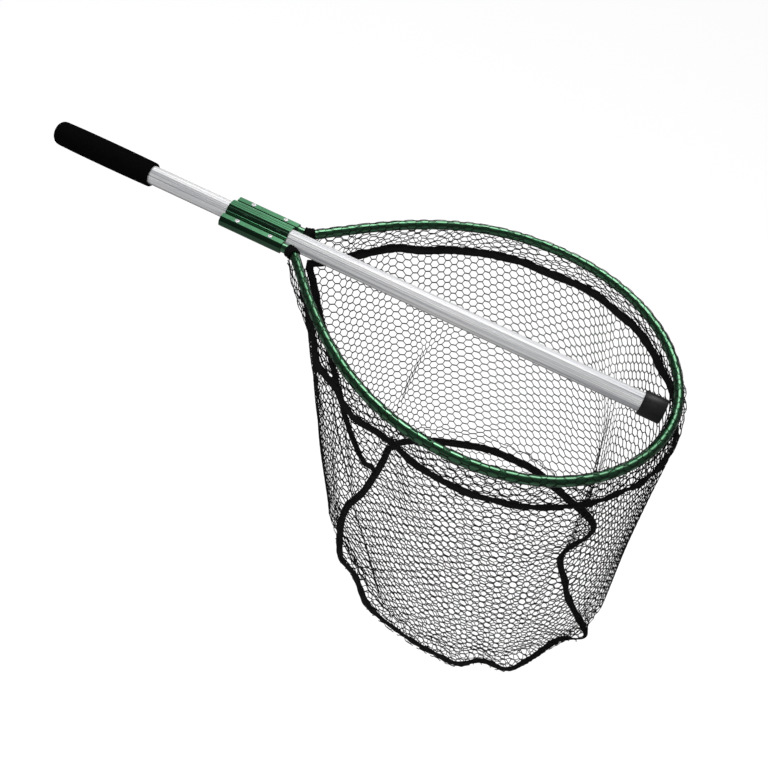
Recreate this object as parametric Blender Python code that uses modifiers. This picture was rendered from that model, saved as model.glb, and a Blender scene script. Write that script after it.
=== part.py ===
"""Landing net: a teardrop hoop riveted into a three-lobe yoke, a fluted handle that slides
through the yoke, and a deep net bag hung from the hoop.

Frame: the origin is in the middle of the yoke's underside. +X runs to the hoop's tip, +Y is the
left side and +Z is up. Every piece hangs on an empty on the handle axis, in the plane of the
yoke's front face. The sizes below are in millimetres and the places are counted from that empty.
The hoop's centre line lies in its plane z = 0."""

import math

import bmesh
import bpy
from mathutils import Matrix, Vector

MM = 0.001

# Yoke section, seen along the handle axis
YOKE_LENGTH = 88.0
LOBE_SPACING = 21.8  # handle axis to leg axis
CENTRE_TOP = 14.6  # height of the crown's groove floors
CENTRE_FLAT = 5.2  # half width of the crown
CROWN_RISE = 0.3  # the crown's strips stand this far above its two grooves
GROOVE_OUTER = 2.6  # y of a groove's outer and inner edges, at the top
GROOVE_INNER = 1.3
GROOVE_SLOPE = 0.35  # run of the sloping groove walls and of the crown's outer edges
CENTRE_RADIUS = 15.4
SIDE_TOP = 7.8
SIDE_FLAT = 3.9  # half width of a side lobe's flat
SIDE_RADIUS = 8.7
SIDE_ARC_STEPS = 5
SIDE_ARC_TRIM = 0.12  # radians by which the arc stops short of the flat's edge
SIDE_RIB_CORNER = 2  # the arc's corner that is pushed out as a rib
SIDE_EDGE = (0.5, 0.9)  # inward run and fall beyond the flat's inner edge
FLANK_FOOT = (2.2, 1.9)  # from the flat's inner edge to the centre lobe's foot, same way
RIB_HEIGHT = 0.45
RUNNING_GAP = 0.3  # round the handle and the legs

# Centre lobe's flank: (share of its arc from foot to crown, True where a rib stands)
FLANK_MARKS = (
    (0.0, False), (0.16, False), (0.2, True), (0.3, True), (0.34, False),
    (0.6, False), (0.64, True), (0.74, True), (0.78, False), (0.93, False),
)

# Hoop: one bent tube
HOOP_TUBE_RADIUS = 6.35
HOOP_WALL = 1.1
LEG_IN_YOKE = 83.0
LEG_STRAIGHT = 6.0  # straight length in front of the yoke
LEG_BEND_RADIUS = 22.0
LEG_BEND_STEPS = 7
LEG_SPREAD = math.radians(50.4)
HOOP_REACH = 529.6
HOOP_HALF_WIDTH = 220.4
HOOP_WIDEST_X = 312.7
# Handle lengths of the two Bezier curves, in their order along the hoop
LEG_FULLNESS = 101.9
SHOULDER_FULLNESS = 140.5
FLANK_FULLNESS = 137.3
TIP_FULLNESS = 106.1
SHOULDER_STEPS = 14
FLANK_STEPS = 18

# Rivets, from the front face of the yoke
RIVET_FRONT = 18.5
RIVET_REAR = 66.0
HOLE_GAP = 0.3  # round a rivet's shank and round the button
RIVET_SHANK = 1.5
RIVET_HOLE = RIVET_SHANK + HOLE_GAP
RIVET_HEAD = 3.3
RIVET_HEAD_HEIGHT = 1.25
RIVET_BORE = 1.1
RIVET_MOUTH = RIVET_BORE + 0.35  # radius of the bore's mouth in the head
RIVET_TAIL_TOP = HOOP_TUBE_RADIUS - HOOP_WALL - 0.3
RIVET_TAIL_END = RIVET_TAIL_TOP - 1.6
RIVET_FLARE = 0.5
DOME_STEPS = 4
MANDREL_RADIUS = 0.85
MANDREL_HEAD = 1.75

# Handle
HANDLE_RADIUS = 12.7
HANDLE_WALL = 1.4
HANDLE_BORE = HANDLE_RADIUS - HANDLE_WALL
HANDLE_REAR = -344.0
HANDLE_FRONT = 511.0
FLUTE_DEPTH = 0.55
FLUTE_HALF_ANGLE = math.radians(20.0)
FLUTE_COUNT = 4
FLUTE_SHAPE = 6  # the higher this power, the flatter the flute's floor
FLUTE_RIB_SHARE = 0.24  # share of the half angle that the middle rib takes
FLUTE_RIB_DEPTH = 0.45  # share of the depth left over the rib
SECTION_STEPS = 80

# Grip and cap on the handle's ends
END_FIT = 0.35  # gap round the tube inside the grip and the cap
END_GAP = 0.4  # gap between the tube's ends and the socket floors
GRIP_REAR = -351.0
GRIP_FRONT = -204.0
GRIP_RADIUS = 17.0
GRIP_END_RADIUS = 16.3  # where the barrel's bulge dies out
GRIP_BULGE_POWER = 0.7
GRIP_BULGE_STEPS = 6
GRIP_BARREL_START = 9.0  # the bulge's two limits, from the grip's rear and from its front
GRIP_BARREL_SETBACK = 2.0
GRIP_REAR_RADIUS = 16.2
GRIP_CORNER = 8.5
GRIP_CORNER_STEPS = 5
GRIP_CROWN = 0.4  # the rear end's middle stands out this far
CAP_REAR = 486.0
CAP_FRONT = 515.4
CAP_RADIUS = 16.0

# Snap button, on the underside behind the cap
BUTTON_X = 444.0
BUTTON_RADIUS = 3.3
BUTTON_HOLE = BUTTON_RADIUS + HOLE_GAP
BUTTON_PROUD = 3.6
BUTTON_FLANGE = BUTTON_RADIUS + 1.1
YOKE_HOLE_X = -20.0
YOKE_HOLE = 3.8

# Spring clip
CLIP_LENGTH = 46.0  # from the button to the bend's centre
CLIP_WIDTH = 9.0
CLIP_THICKNESS = 0.8
CLIP_FLAT = 7.0  # half length of the flat at each leg's end
CLIP_BEND_RADIUS = 3.4
CLIP_BEND_STEPS = 8
CLIP_LOW = -HANDLE_BORE + 2.9
CLIP_HIGH = HANDLE_BORE - 1.9

# Lashings and sleeve, by length along the hoop's centre line from the yoke's front face
LASH_START = 12.0
LASH_END = 24.5
LASH_EXTRA = 0.9  # the lashings' radius beyond the sleeve's
SLEEVE_START = 27.0
STATION_MARGIN = 3.0  # hoop points closer than this to a wrapping's end are left out
SLEEVE_INNER = 6.95
SLEEVE_OUTER = 8.0
SLEEVE_DROP = 35.0
SLEEVE_HEM = 1.6  # half thickness
SLEEVE_SECTION_STEPS = 12

# Bag
TAPE_WIDTH = 10.5
TAPE_THICKNESS = 1.6
NET_THICKNESS = 1.2
NECK_X = 26.0
NECK_STEPS = 6
BAG_JOIN = SLEEVE_START + 2.0  # length along the hoop where the upper edge meets it
BAG_DEPTH = 388.0  # down to the side wall's lower edge
BAG_LEAN_X = 366.0  # centre of the bottom edge
BOTTOM_RADIUS_X = 194.0
BOTTOM_RADIUS_Y = 197.0
BOTTOM_SAG = 14.0
PANEL_SHARES = (1.0, 0.78, 0.52, 0.26)  # the bottom panel's rings, as shares of its rim
RING_STEPS = 60
WALL_LEVELS = 6

# Heights of the bag's bands, from the sleeve's hem down
TAPE_WALL_GAP = 0.5
TAPE_TOP = -SLEEVE_DROP - 0.6
TAPE_BOTTOM = TAPE_TOP - TAPE_WIDTH
WALL_TOP = TAPE_BOTTOM - TAPE_WALL_GAP
WALL_BOTTOM = -BAG_DEPTH
HEM_TOP = WALL_BOTTOM - TAPE_WALL_GAP
HEM_BOTTOM = HEM_TOP - TAPE_WIDTH
PANEL_RIM = HEM_BOTTOM - 1.2

SIDES = (("left", LOBE_SPACING), ("right", -LOBE_SPACING))
RIVET_ENDS = (("front", -RIVET_FRONT), ("rear", -RIVET_REAR))


# ---------------------------------------------------------------- scene and materials
for old in list(bpy.data.objects):
    bpy.data.objects.remove(old, do_unlink=True)


def collection(name):
    made = bpy.data.collections.new(name)
    bpy.context.scene.collection.children.link(made)
    return made


parts = collection("landing_net")
cutters = collection("cutters")

# the handle axis at the yoke's front face, seen from the middle of the yoke's underside
axis_frame = bpy.data.objects.new("handle_axis", None)
axis_frame.location = (YOKE_LENGTH / 2 * MM, 0.0, (CENTRE_TOP + CROWN_RISE) * MM)
parts.objects.link(axis_frame)


def material(name, colour, roughness, metallic):
    made = bpy.data.materials.new(name)
    made.use_nodes = True
    shader = made.node_tree.nodes["Principled BSDF"]
    shader.inputs["Base Color"].default_value = (*colour, 1.0)
    shader.inputs["Roughness"].default_value = roughness
    shader.inputs["Metallic"].default_value = metallic
    made.diffuse_color = (*colour, 1.0)
    return made


GREEN = material(
    "green_anodised_aluminium", colour=(0.025, 0.24, 0.09), roughness=0.32, metallic=0.85
)
SILVER = material(
    "silver_anodised_aluminium", colour=(0.72, 0.73, 0.75), roughness=0.34, metallic=0.9
)
STEEL = material("rivet_steel", colour=(0.78, 0.78, 0.80), roughness=0.25, metallic=1.0)
DARK_STEEL = material("mandrel_steel", colour=(0.16, 0.16, 0.17), roughness=0.45, metallic=0.9)
SPRING = material("spring_steel", colour=(0.45, 0.45, 0.47), roughness=0.35, metallic=1.0)
FOAM = material("black_foam", colour=(0.006, 0.006, 0.006), roughness=0.95, metallic=0.0)
PLASTIC = material("black_plastic", colour=(0.02, 0.02, 0.021), roughness=0.42, metallic=0.0)
NET = material("black_net", colour=(0.012, 0.012, 0.013), roughness=0.8, metallic=0.0)
TAPE = material("black_tape", colour=(0.01, 0.01, 0.011), roughness=0.85, metallic=0.0)


# ---------------------------------------------------------------- helpers
def place(name, mesh, mat):
    """Hangs a piece on the handle axis. Without a material it is a hidden cutter."""
    obj = bpy.data.objects.new(name, mesh)
    obj.parent = axis_frame
    if mat is None:
        cutters.objects.link(obj)
        obj.hide_render = True
        obj.display_type = "WIRE"
    else:
        parts.objects.link(obj)
        mesh.materials.append(mat)
    return obj


def mesh_of(name, shape):
    """Turns a bmesh into a mesh and frees it."""
    mesh = bpy.data.meshes.new(name)
    shape.to_mesh(mesh)
    shape.free()
    return mesh


def mesh_from(name, points, faces):
    """A mesh from points in millimetres, its faces turned outward."""
    mesh = bpy.data.meshes.new(name)
    mesh.from_pydata([tuple(c * MM for c in point) for point in points], [], faces)
    shape = bmesh.new()
    shape.from_mesh(mesh)
    bmesh.ops.recalc_face_normals(shape, faces=shape.faces)
    shape.to_mesh(mesh)
    shape.free()
    return mesh


def turned(name, profile, steps, mat, closed=False):
    """A round piece: a profile of (radius, height) points, turned about local Z."""
    mesh = bpy.data.meshes.new(name)
    points = [(radius * MM, 0.0, z * MM) for radius, z in profile]
    edges = [(i, i + 1) for i in range(len(points) - 1)]
    if closed:
        edges.append((len(points) - 1, 0))
    mesh.from_pydata(points, edges, [])
    obj = place(name, mesh, mat)
    screw = obj.modifiers.new("turn", "SCREW")
    screw.axis = "Z"
    screw.angle = 2 * math.pi
    screw.steps = steps
    screw.render_steps = steps
    screw.use_merge_vertices = True
    screw.merge_threshold = 0.00001
    screw.use_smooth_shade = True
    return obj


def lay_along_x(obj, x):
    """Lays a turned piece down, so that its local Z points along +X."""
    obj.rotation_euler = (0.0, math.pi / 2, 0.0)
    obj.location = (x * MM, 0.0, 0.0)


def cylinder(name, radius, length, centre, axis, segments):
    """A solid round cutter along X or Z."""
    shape = bmesh.new()
    turn = Matrix.Rotation(math.pi / 2, 4, "Y") if axis == "X" else Matrix.Identity(4)
    bmesh.ops.create_cone(
        shape,
        cap_ends=True,
        segments=segments,
        radius1=radius * MM,
        radius2=radius * MM,
        depth=length * MM,
        matrix=Matrix.Translation(Vector(centre) * MM) @ turn,
    )
    return place(name, mesh_of(name, shape), None)


def cut(obj, cutter):
    boolean = obj.modifiers.new("cut_" + cutter.name, "BOOLEAN")
    boolean.operation = "DIFFERENCE"
    boolean.solver = "EXACT"
    boolean.object = cutter


def solidify(obj, name, thickness, offset):
    solid = obj.modifiers.new(name, "SOLIDIFY")
    solid.thickness = thickness * MM
    solid.offset = offset


def prism(name, outline, x0, x1, mat):
    """A closed outline of (y, z) points, extruded from x0 to x1."""
    shape = bmesh.new()
    ring = [shape.verts.new((x0 * MM, y * MM, z * MM)) for y, z in outline]
    face = shape.faces.new(ring)
    grown = bmesh.ops.extrude_face_region(shape, geom=[face])
    moved = [v for v in grown["geom"] if isinstance(v, bmesh.types.BMVert)]
    bmesh.ops.translate(shape, verts=moved, vec=((x1 - x0) * MM, 0.0, 0.0))
    bmesh.ops.recalc_face_normals(shape, faces=shape.faces)
    return place(name, mesh_of(name, shape), mat)


def smooth(obj):
    for face in obj.data.polygons:
        face.use_smooth = True


def polar(radius, angle):
    return (radius * math.cos(angle), radius * math.sin(angle))


def fluted(radius):
    """The handle's section: round, with shallow flutes that each hold a fine middle rib."""
    pitch = 2 * math.pi / FLUTE_COUNT
    outline = []
    for i in range(SECTION_STEPS):
        angle = 2 * math.pi * i / SECTION_STEPS
        off = abs((angle % pitch) - pitch / 2)  # from the middle of the nearest flute
        depth = 0.0
        if off < FLUTE_HALF_ANGLE:
            share = off / FLUTE_HALF_ANGLE
            depth = FLUTE_DEPTH * (1 - share**FLUTE_SHAPE)
            if share < FLUTE_RIB_SHARE:
                depth *= FLUTE_RIB_DEPTH
        outline.append(polar(radius - depth, angle))
    return outline


# ---------------------------------------------------------------- hoop centre line
def bezier(p0, p1, p2, p3, steps):
    """Points of a cubic curve, without its first."""
    made = []
    for i in range(1, steps + 1):
        t = i / steps
        s = 1 - t
        made.append(
            tuple(
                s**3 * a + 3 * s * s * t * b + 3 * s * t * t * c + t**3 * d
                for a, b, c, d in zip(p0, p1, p2, p3)
            )
        )
    return made


def half_hoop():
    """(x, y) points of the left half, from the yoke's front face to the tip."""
    points = [(0.0, LOBE_SPACING), (LEG_STRAIGHT, LOBE_SPACING)]
    for i in range(1, LEG_BEND_STEPS + 1):
        angle = LEG_SPREAD * i / LEG_BEND_STEPS
        points.append(
            (
                LEG_STRAIGHT + LEG_BEND_RADIUS * math.sin(angle),
                LOBE_SPACING + LEG_BEND_RADIUS * (1 - math.cos(angle)),
            )
        )
    start = points[-1]
    run = polar(LEG_FULLNESS, LEG_SPREAD)
    widest = (HOOP_WIDEST_X, HOOP_HALF_WIDTH)
    points += bezier(
        start,
        (start[0] + run[0], start[1] + run[1]),
        (HOOP_WIDEST_X - SHOULDER_FULLNESS, HOOP_HALF_WIDTH),
        widest,
        SHOULDER_STEPS,
    )
    points += bezier(
        widest,
        (HOOP_WIDEST_X + FLANK_FULLNESS, HOOP_HALF_WIDTH),
        (HOOP_REACH, TIP_FULLNESS),
        (HOOP_REACH, 0.0),
        FLANK_STEPS,
    )
    return points


def lengths(points):
    """The length along a polyline at each of its points."""
    total = [0.0]
    for a, b in zip(points, points[1:]):
        total.append(total[-1] + math.dist(a, b))
    return total


def at_length(points, total, where):
    """The point this far along a polyline."""
    for i in range(len(total) - 1):
        if where <= total[i + 1]:
            share = (where - total[i]) / (total[i + 1] - total[i])
            return tuple(a + (b - a) * share for a, b in zip(points[i], points[i + 1]))


def side_of(points, i):
    """The unit normal in the plane at a point of a polyline, on the left of its run."""
    a = points[max(i - 1, 0)]
    b = points[min(i + 1, len(points) - 1)]
    run = (b[0] - a[0], b[1] - a[1])
    size = math.hypot(*run)
    return (-run[1] / size, run[0] / size)


LEFT_HALF = half_hoop()
HOOP = LEFT_HALF + [(x, -y) for x, y in reversed(LEFT_HALF[:-1])]  # left leg, tip, right leg
HOOP_LENGTHS = lengths(HOOP)
HOOP_LENGTH = HOOP_LENGTHS[-1]


# ---------------------------------------------------------------- yoke
def yoke_outline():
    """(y, z) section of the extrusion: the upper quarter on the +Y side, then its mirrors."""
    quarter = []
    # side lobe: from its outer waist up to its flat
    arc = math.acos(SIDE_FLAT / SIDE_RADIUS) - SIDE_ARC_TRIM
    for i in range(SIDE_ARC_STEPS + 1):
        y, z = polar(SIDE_RADIUS, arc * i / SIDE_ARC_STEPS)
        rib = RIB_HEIGHT if i == SIDE_RIB_CORNER else 0.0
        quarter.append((LOBE_SPACING + y + rib, z))
    flat_inner = LOBE_SPACING - SIDE_FLAT
    quarter.append((LOBE_SPACING + SIDE_FLAT, SIDE_TOP))
    quarter.append((flat_inner, SIDE_TOP))
    quarter.append((flat_inner - SIDE_EDGE[0], SIDE_TOP - SIDE_EDGE[1]))
    # flank of the centre lobe, with two fine ribs
    low = math.atan2(SIDE_TOP - FLANK_FOOT[1], flat_inner - FLANK_FOOT[0])
    high = math.atan2(CENTRE_TOP, CENTRE_FLAT)
    for share, ribbed in FLANK_MARKS:
        radius = CENTRE_RADIUS + (RIB_HEIGHT if ribbed else 0.0)
        quarter.append(polar(radius, low + (high - low) * share))
    # crown: this half holds one groove
    strip_top = CENTRE_TOP + CROWN_RISE
    quarter += [
        (CENTRE_FLAT, CENTRE_TOP + CROWN_RISE / 2),
        (CENTRE_FLAT - GROOVE_SLOPE, strip_top),
        (GROOVE_OUTER, strip_top),
        (GROOVE_OUTER - GROOVE_SLOPE, CENTRE_TOP),
        (GROOVE_INNER + GROOVE_SLOPE, CENTRE_TOP),
        (GROOVE_INNER, strip_top),
    ]
    upper = quarter + [(-y, z) for y, z in reversed(quarter)]
    lower = [(-y, -z) for y, z in upper]
    # the waist points at z = 0 are shared by both halves
    return upper[:-1] + lower[:-1]


def build_yoke():
    yoke = prism("yoke", yoke_outline(), -YOKE_LENGTH, 0.0, GREEN)
    bore_section = fluted(HANDLE_RADIUS + RUNNING_GAP)
    cut(yoke, prism("slide_bore_cutter", bore_section, -YOKE_LENGTH - 5, 5.0, None))
    for side, y in SIDES:
        leg_centre = (-YOKE_LENGTH / 2, y, 0.0)
        leg_bore = HOOP_TUBE_RADIUS + RUNNING_GAP
        cut(yoke, cylinder("leg_bore_" + side, leg_bore, YOKE_LENGTH + 10, leg_centre, "X", 28))
        for end, x in RIVET_ENDS:
            name = f"yoke_rivet_hole_{side}_{end}"
            cut(yoke, cylinder(name, RIVET_HOLE, 9.0, (x, y, SIDE_TOP), "Z", 16))
    lock_centre = (YOKE_HOLE_X, 0, -CENTRE_TOP)
    cut(yoke, cylinder("lock_hole_cutter", YOKE_HOLE, 9.0, lock_centre, "Z", 20))


# ---------------------------------------------------------------- hoop tube
def hoop_shell():
    """The bent tube's outer skin, made as a round curve along the centre line."""
    path = [(-LEG_IN_YOKE, LOBE_SPACING)] + HOOP + [(-LEG_IN_YOKE, -LOBE_SPACING)]
    curve = bpy.data.curves.new("hoop_path", "CURVE")
    curve.dimensions = "3D"
    curve.bevel_depth = HOOP_TUBE_RADIUS * MM
    curve.bevel_resolution = 2
    curve.use_fill_caps = False
    spline = curve.splines.new("POLY")
    spline.points.add(len(path) - 1)
    for point, (x, y) in zip(spline.points, path):
        point.co = (x * MM, y * MM, 0.0, 1.0)
    guide = bpy.data.objects.new("hoop_guide", curve)
    parts.objects.link(guide)
    bpy.context.view_layer.update()
    graph = bpy.context.evaluated_depsgraph_get()
    mesh = bpy.data.meshes.new_from_object(guide.evaluated_get(graph))
    bpy.data.objects.remove(guide, do_unlink=True)
    shape = bmesh.new()
    shape.from_mesh(mesh)
    bmesh.ops.remove_doubles(shape, verts=shape.verts, dist=0.000001)
    # faces look away from the centre line, judged at the left leg's rear end
    leg_end = Vector((-LEG_IN_YOKE * MM, LOBE_SPACING * MM, 0.0))
    first = min(shape.faces, key=lambda f: (f.calc_center_median() - leg_end).length)
    centre = first.calc_center_median()
    if first.normal.dot(Vector((0.0, centre.y - leg_end.y, centre.z))) < 0:
        bmesh.ops.reverse_faces(shape, faces=shape.faces)
    shape.to_mesh(mesh)
    shape.free()
    mesh.materials.clear()
    return mesh


def build_hoop():
    hoop = place("hoop_tube", hoop_shell(), GREEN)
    smooth(hoop)
    solidify(hoop, "wall", HOOP_WALL, offset=-1.0)
    for side, y in SIDES:
        for end, x in RIVET_ENDS:
            name = f"leg_rivet_hole_{side}_{end}"
            cut(hoop, cylinder(name, RIVET_HOLE, 6.0, (x, y, HOOP_TUBE_RADIUS), "Z", 16))


# ---------------------------------------------------------------- blind rivets
def build_rivet(name, x, y):
    """A set blind rivet: domed head, hollow shank and a flared tail inside the leg."""
    seat = SIDE_TOP + 0.05
    rim = 0.15  # straight edge under the dome
    top = seat + RIVET_HEAD_HEIGHT
    profile = [(RIVET_MOUTH, top)]
    for i in range(1, DOME_STEPS + 1):
        angle = (math.pi / 2) * i / DOME_STEPS
        profile.append(
            (
                RIVET_MOUTH + (RIVET_HEAD - RIVET_MOUTH) * math.sin(angle),
                seat + rim + (RIVET_HEAD_HEIGHT - rim) * math.cos(angle),
            )
        )
    profile += [
        (RIVET_HEAD, seat),
        (RIVET_SHANK, seat),
        (RIVET_SHANK, RIVET_TAIL_TOP),
        (RIVET_SHANK + RIVET_FLARE, RIVET_TAIL_TOP - 0.6),
        (RIVET_SHANK + RIVET_FLARE, RIVET_TAIL_TOP - 1.2),
        (RIVET_BORE, RIVET_TAIL_END),
        (RIVET_BORE, top - 0.45),
    ]
    rivet = turned(name, profile, 20, STEEL, closed=True)
    rivet.location = (x * MM, y * MM, 0.0)


def build_mandrel(name, x, y):
    """What is left of the pulled pin: a stem in the rivet's bore and its head under the tail."""
    head_top = RIVET_TAIL_END - 0.2
    profile = [
        (0.0, SIDE_TOP + 0.2),
        (MANDREL_RADIUS, SIDE_TOP + 0.1),
        (MANDREL_RADIUS, head_top),
        (MANDREL_HEAD, head_top - 0.1),
        (MANDREL_HEAD, head_top - 0.7),
        (0.9, head_top - 1.3),
        (0.0, head_top - 1.4),
    ]
    mandrel = turned(name, profile, 12, DARK_STEEL)
    mandrel.location = (x * MM, y * MM, 0.0)


# ---------------------------------------------------------------- handle
def build_handle():
    handle = prism("handle_tube", fluted(HANDLE_RADIUS), HANDLE_REAR, HANDLE_FRONT, SILVER)
    length = HANDLE_FRONT - HANDLE_REAR + 10
    centre = ((HANDLE_FRONT + HANDLE_REAR) / 2, 0.0, 0.0)
    cut(handle, cylinder("handle_bore_cutter", HANDLE_BORE, length, centre, "X", 32))
    hole_centre = (BUTTON_X, 0, -HANDLE_RADIUS)
    cut(handle, cylinder("button_hole_cutter", BUTTON_HOLE, 8.0, hole_centre, "Z", 20))


def build_grip():
    """Foam sleeve: socket, funnelled mouth, barrel body and closed round rear end."""
    bore = HANDLE_RADIUS + END_FIT
    length = GRIP_FRONT - GRIP_REAR
    socket_floor = HANDLE_REAR - GRIP_REAR - END_GAP
    # from the socket's floor forward to the mouth and round its lip
    profile = [
        (0.0, socket_floor),
        (bore, socket_floor),
        (bore, length - 3.6),
        (15.0, length - 0.3),
        (15.5, length),
        (16.1, length - 0.7),
        (16.35, length - GRIP_BARREL_SETBACK),
    ]
    for i in range(1, GRIP_BULGE_STEPS):
        share = i / GRIP_BULGE_STEPS
        bulge = math.sin(math.pi * share) ** GRIP_BULGE_POWER
        profile.append(
            (
                GRIP_END_RADIUS + (GRIP_RADIUS - GRIP_END_RADIUS) * bulge,
                (length - GRIP_BARREL_SETBACK) * (1 - share) + GRIP_BARREL_START * share,
            )
        )
    for i in range(GRIP_CORNER_STEPS + 1):
        angle = (math.pi / 2) * i / GRIP_CORNER_STEPS
        profile.append(
            (
                GRIP_REAR_RADIUS - GRIP_CORNER + GRIP_CORNER * math.cos(angle),
                GRIP_CORNER * (1 - math.sin(angle)),
            )
        )
    profile.append((0.0, -GRIP_CROWN))
    lay_along_x(turned("handle_grip", profile, 36, FOAM), GRIP_REAR)


def build_cap():
    """Plug over the handle's front end, hollow from the rear."""
    length = CAP_FRONT - CAP_REAR
    bore = HANDLE_RADIUS + END_FIT
    socket_floor = HANDLE_FRONT - CAP_REAR + END_GAP
    profile = [
        (0.0, length),
        (CAP_RADIUS - 1.6, length),
        (CAP_RADIUS - 0.5, length - 0.4),
        (CAP_RADIUS, length - 1.4),
        (CAP_RADIUS, 0.5),
        (CAP_RADIUS - 0.5, 0.0),
        (bore, 0.0),
        (bore, socket_floor),
        (0.0, socket_floor),
    ]
    lay_along_x(turned("front_end_cap", profile, 40, PLASTIC), CAP_REAR)


def build_button():
    """Domed pin through the tube's underside, with a wider flange inside the tube."""
    flange_top = -HANDLE_BORE + 2.0
    flange_bottom = -HANDLE_BORE + 0.9
    tip = -HANDLE_RADIUS - BUTTON_PROUD
    profile = [
        (0.0, flange_top),
        (BUTTON_FLANGE, flange_top),
        (BUTTON_FLANGE, flange_bottom),
        (BUTTON_RADIUS, flange_bottom),
        (BUTTON_RADIUS, tip + 1.6),
        (BUTTON_RADIUS - 0.6, tip + 0.6),
        (BUTTON_RADIUS - 1.8, tip + 0.1),
        (0.0, tip),
    ]
    button = turned("lock_button", profile, 24, STEEL)
    button.location = (BUTTON_X * MM, 0.0, 0.0)


def build_clip():
    """Leaf spring bent into a V that opens forward: the lower leg ends over the button's
    flange, the upper leg under the tube's top wall."""
    line = [(BUTTON_X + CLIP_FLAT, CLIP_LOW), (BUTTON_X - CLIP_FLAT, CLIP_LOW)]
    for i in range(CLIP_BEND_STEPS + 1):
        x, z = polar(CLIP_BEND_RADIUS, -math.pi / 2 - math.pi * i / CLIP_BEND_STEPS)
        line.append((BUTTON_X - CLIP_LENGTH + x, z))
    line += [(BUTTON_X - CLIP_FLAT, CLIP_HIGH), (BUTTON_X + CLIP_FLAT, CLIP_HIGH)]
    points = [(x, y, z) for x, z in line for y in (-CLIP_WIDTH / 2, CLIP_WIDTH / 2)]
    faces = [(i, i + 1, i + 3, i + 2) for i in range(0, len(points) - 2, 2)]
    clip = place("button_spring_clip", mesh_from("button_spring_clip", points, faces), SPRING)
    solidify(clip, "leaf", CLIP_THICKNESS, offset=0.0)


# ---------------------------------------------------------------- lashings and sleeve
def stations(first, last):
    """The hoop's points between two lengths along it, so that what wraps it bends where it bends."""
    inside = [
        point
        for point, length in zip(HOOP, HOOP_LENGTHS)
        if first + STATION_MARGIN < length < last - STATION_MARGIN
    ]
    ends = [at_length(HOOP, HOOP_LENGTHS, where) for where in (first, last)]
    return [ends[0]] + inside + [ends[1]]


def wrapped(name, points, outer, inner, mat):
    """A hollow sleeve round the hoop. Both sections have the same number of (side, z) points,
    where side is counted outward from the hoop's centre line."""
    count = len(outer)
    made, faces = [], []
    for i, (x, y) in enumerate(points):
        nx, ny = side_of(points, i)
        for section in (outer, inner):
            made += [(x + nx * side, y + ny * side, z) for side, z in section]
    rows = len(points)
    for i in range(rows - 1):
        for k in range(count):
            j = (k + 1) % count
            a, b = 2 * count * i, 2 * count * (i + 1)
            faces.append((a + k, a + j, b + j, b + k))
            faces.append((a + count + k, b + count + k, b + count + j, a + count + j))
    for i in (0, rows - 1):
        for k in range(count):
            j = (k + 1) % count
            a = 2 * count * i
            faces.append((a + k, a + count + k, a + count + j, a + j))
    smooth(place(name, mesh_from(name, made, faces), mat))


def ring_section(radius):
    """A round section, from its top by its outward side."""
    angles = [2 * math.pi * k / SLEEVE_SECTION_STEPS for k in range(SLEEVE_SECTION_STEPS)]
    return [(radius * math.sin(angle), radius * math.cos(angle)) for angle in angles]


def skirt_section():
    """Round over the hoop, drawn down at the bottom into a thin hem."""
    ring = ring_section(SLEEVE_OUTER)
    shoulder, shoulder_z = SLEEVE_OUTER * 0.93, -SLEEVE_OUTER * 0.5
    skirt = [
        (shoulder, shoulder_z),
        (SLEEVE_HEM, -SLEEVE_DROP),
        (0.0, -SLEEVE_DROP - 0.01),
        (-SLEEVE_HEM, -SLEEVE_DROP),
        (-shoulder, shoulder_z),
    ]
    return ring[:4] + skirt + ring[9:]


def build_lashings():
    outer = ring_section(SLEEVE_OUTER + LASH_EXTRA)
    inner = ring_section(SLEEVE_INNER)
    for side, start, stop in (
        ("left", LASH_START, LASH_END),
        ("right", HOOP_LENGTH - LASH_END, HOOP_LENGTH - LASH_START),
    ):
        wrapped("neck_lashing_" + side, stations(start, stop), outer, inner, TAPE)


def build_sleeve():
    run = stations(SLEEVE_START, HOOP_LENGTH - SLEEVE_START)
    wrapped("net_rim_sleeve", run, skirt_section(), ring_section(SLEEVE_INNER), NET)


# ---------------------------------------------------------------- bag
def top_ring():
    """(x, y) round the bag's upper edge, from the neck by the left flank to the tip and back."""
    join = at_length(HOOP, HOOP_LENGTHS, BAG_JOIN)
    left = []
    for i in range(NECK_STEPS):
        angle = (math.pi / 2) * i / NECK_STEPS
        left.append(
            (join[0] - (join[0] - NECK_X) * math.cos(angle), join[1] * math.sin(angle))
        )
    left.append(join)
    left += [
        point
        for point, length in zip(LEFT_HALF, HOOP_LENGTHS)
        if length > BAG_JOIN + STATION_MARGIN
    ]
    line = left + [(x, -y) for x, y in reversed(left[1:-1])] + [left[0]]
    total = lengths(line)
    return [at_length(line, total, total[-1] * k / RING_STEPS) for k in range(RING_STEPS)]


def bottom_ring():
    """(x, y) round the bag's bottom edge, from the rear by the left."""
    made = []
    for k in range(RING_STEPS):
        angle = math.pi - 2 * math.pi * k / RING_STEPS
        made.append(
            (
                BAG_LEAN_X + BOTTOM_RADIUS_X * math.cos(angle),
                BOTTOM_RADIUS_Y * math.sin(angle),
            )
        )
    return made


def skin_of(name, rings, mat, thickness, centre=None):
    """A skin through rings of (x, y, z) points, thickened both ways. A centre point closes
    the last ring."""
    points = [point for ring in rings for point in ring]
    faces = []
    for i in range(len(rings) - 1):
        for k in range(RING_STEPS):
            j = (k + 1) % RING_STEPS
            a, b = i * RING_STEPS, (i + 1) * RING_STEPS
            faces.append((a + k, a + j, b + j, b + k))
    if centre is not None:
        points.append(centre)
        last = (len(rings) - 1) * RING_STEPS
        for k in range(RING_STEPS):
            j = (k + 1) % RING_STEPS
            faces.append((last + k, last + j, len(points) - 1))
    obj = place(name, mesh_from(name, points, faces), mat)
    smooth(obj)
    solidify(obj, "thickness", thickness, offset=0.0)


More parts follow.
